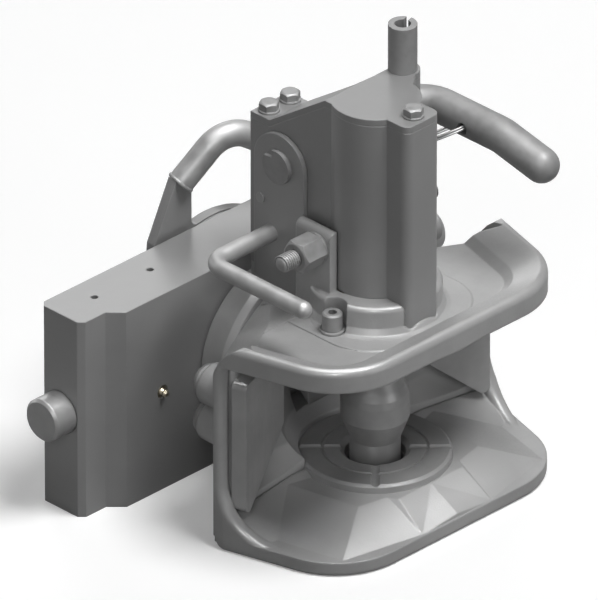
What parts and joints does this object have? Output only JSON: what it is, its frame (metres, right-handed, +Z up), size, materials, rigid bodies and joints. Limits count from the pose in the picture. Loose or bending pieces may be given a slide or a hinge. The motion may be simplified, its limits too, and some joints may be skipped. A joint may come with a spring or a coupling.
{
  "type": "clevis hitch",
  "caption": "Pintle-jaw trailer hitch with a lifting coupling pin, hand lever and trigger, swivelling on a carrier plate that slides in a hitch frame and is held by spring-loaded locking pins",
  "frame": {"origin": "where the axis of the locking pins meets the axis that the jaw swivels on, in the middle of the carrier's guide tongues", "axes": "+X right, +Y to the rear, towards the vehicle, +Z up; the jaw opens towards -Y"},
  "size_m": [0.3, 0.2026, 0.273],
  "materials": {
    "painted_casting": "satin grey paint on cast steel",
    "painted_housing": "satin grey paint",
    "painted_carrier": "satin grey paint",
    "plated_steel": "dull zinc plating",
    "bright_steel": "ground",
    "machined_steel": "machined",
    "zinc_fastener": "zinc plated",
    "spring_steel": "blued spring steel",
    "bronze_bush": "plain bronze",
    "brass_nipple": "plain brass"
  },
  "bodies": {
    "carrier": {"carrier_plate": "painted_carrier", "swivel_bush": "bronze_bush", "grease_nipples": "brass_nipple", "rear_cap": "painted_carrier", "cap_screws": "zinc_fastener", "lever_retainer": "plated_steel", "retainer_screws": "zinc_fastener", "locking_spring_left": "spring_steel", "locking_spring_right": "spring_steel"},
    "jaw": {"jaw_casting": "painted_casting", "swivel_spring_washer": "spring_steel", "swivel_nut": "machined_steel", "nut_lock_pin": "bright_steel", "wear_disc": "machined_steel", "wear_plate_left": "machined_steel", "wear_plate_right": "machined_steel", "wear_plate_bolts": "zinc_fastener", "pin_bush": "bronze_bush", "mechanism_housing": "painted_housing", "housing_cover": "painted_housing", "cover_screws": "zinc_fastener", "ear_studs": "zinc_fastener", "ear_nuts": "zinc_fastener", "side_bolt": "zinc_fastener", "remote_tube": "plated_steel", "shaft_bush_left": "bronze_bush", "shaft_bush_right": "bronze_bush", "return_spring": "spring_steel", "trigger_pin": "bright_steel", "lip_screw": "zinc_fastener", "lip_washer": "zinc_fastener"},
    "coupling_pin": {"coupling_pin": "bright_steel", "cross_pin": "bright_steel"},
    "hand_lever": {"hand_lever": "plated_steel", "crank_arm": "machined_steel", "crank_key": "bright_steel", "shaft_ring": "plated_steel"},
    "pull_ring": {"pull_ring": "zinc_fastener"},
    "release_lever": {"release_plate": "plated_steel", "release_rod": "plated_steel", "release_pin": "bright_steel", "pawl": "machined_steel"},
    "trigger": {"trigger": "machined_steel"},
    "locking_lever": {"locking_lever": "plated_steel", "locking_handle": "plated_steel"},
    "locking_pin_left": {"locking_pin_left": "bright_steel", "drive_pin_left": "bright_steel"},
    "locking_pin_right": {"locking_pin_right": "bright_steel", "drive_pin_right": "bright_steel"}
  },
  "joints": [
    {"name": "jaw_swivel", "type": "hinge", "parent": "carrier", "child": "jaw", "pos_m": [0, 0, 0], "axis": [0, 1, 0], "range_deg": [-90, 90]},
    {"name": "hand_lever_lift", "type": "hinge", "parent": "jaw", "child": "hand_lever", "pos_m": [0, -0.0573, 0.132], "axis": [-1, 0, 0], "range_deg": [0, 78], "stiffness_Nm_per_rad": 0.6, "springref_deg": -28.65},
    {"name": "coupling_pin_lift", "type": "slide", "parent": "jaw", "child": "coupling_pin", "axis": [0, 0, 1], "range_m": [0, 0.082]},
    {"name": "pull_ring_swing", "type": "hinge", "parent": "hand_lever", "child": "pull_ring", "pos_m": [0.084, -0.098, 0.1313], "axis": [-1, 0, 0], "range_deg": [0, 58]},
    {"name": "release_lever_swing", "type": "hinge", "parent": "jaw", "child": "release_lever", "pos_m": [0, -0.0573, 0.132], "axis": [-1, 0, 0], "range_deg": [0, 12], "stiffness_Nm_per_rad": 0.4, "springref_deg": -17.19},
    {"name": "trigger_tilt", "type": "hinge", "parent": "jaw", "child": "trigger", "pos_m": [-0.009, -0.053, 0.054], "axis": [1, 0, 0], "range_deg": [0, 9], "stiffness_Nm_per_rad": 0.5, "springref_deg": -17.19},
    {"name": "locking_lever_turn", "type": "hinge", "parent": "carrier", "child": "locking_lever", "pos_m": [0, 0, 0], "axis": [0, -1, 0], "range_deg": [0, 31]},
    {"name": "locking_pin_left_slide", "type": "slide", "parent": "carrier", "child": "locking_pin_left", "axis": [1, 0, 0], "range_m": [0, 0.015], "stiffness_N_per_m": 1500, "springref_m": -0.012, "deforming": ["locking_spring_left"]},
    {"name": "locking_pin_right_slide", "type": "slide", "parent": "carrier", "child": "locking_pin_right", "axis": [-1, 0, 0], "range_m": [0, 0.015], "stiffness_N_per_m": 1500, "springref_m": -0.012, "deforming": ["locking_spring_right"]}
  ],
  "couplings": [
    {"joint": "coupling_pin_lift", "follows": "hand_lever_lift", "m_per_rad": 0.060234},
    {"joint": "locking_pin_left_slide", "follows": "locking_lever_turn", "m_per_rad": 0.027723},
    {"joint": "locking_pin_right_slide", "follows": "locking_lever_turn", "m_per_rad": 0.027723}
  ]
}
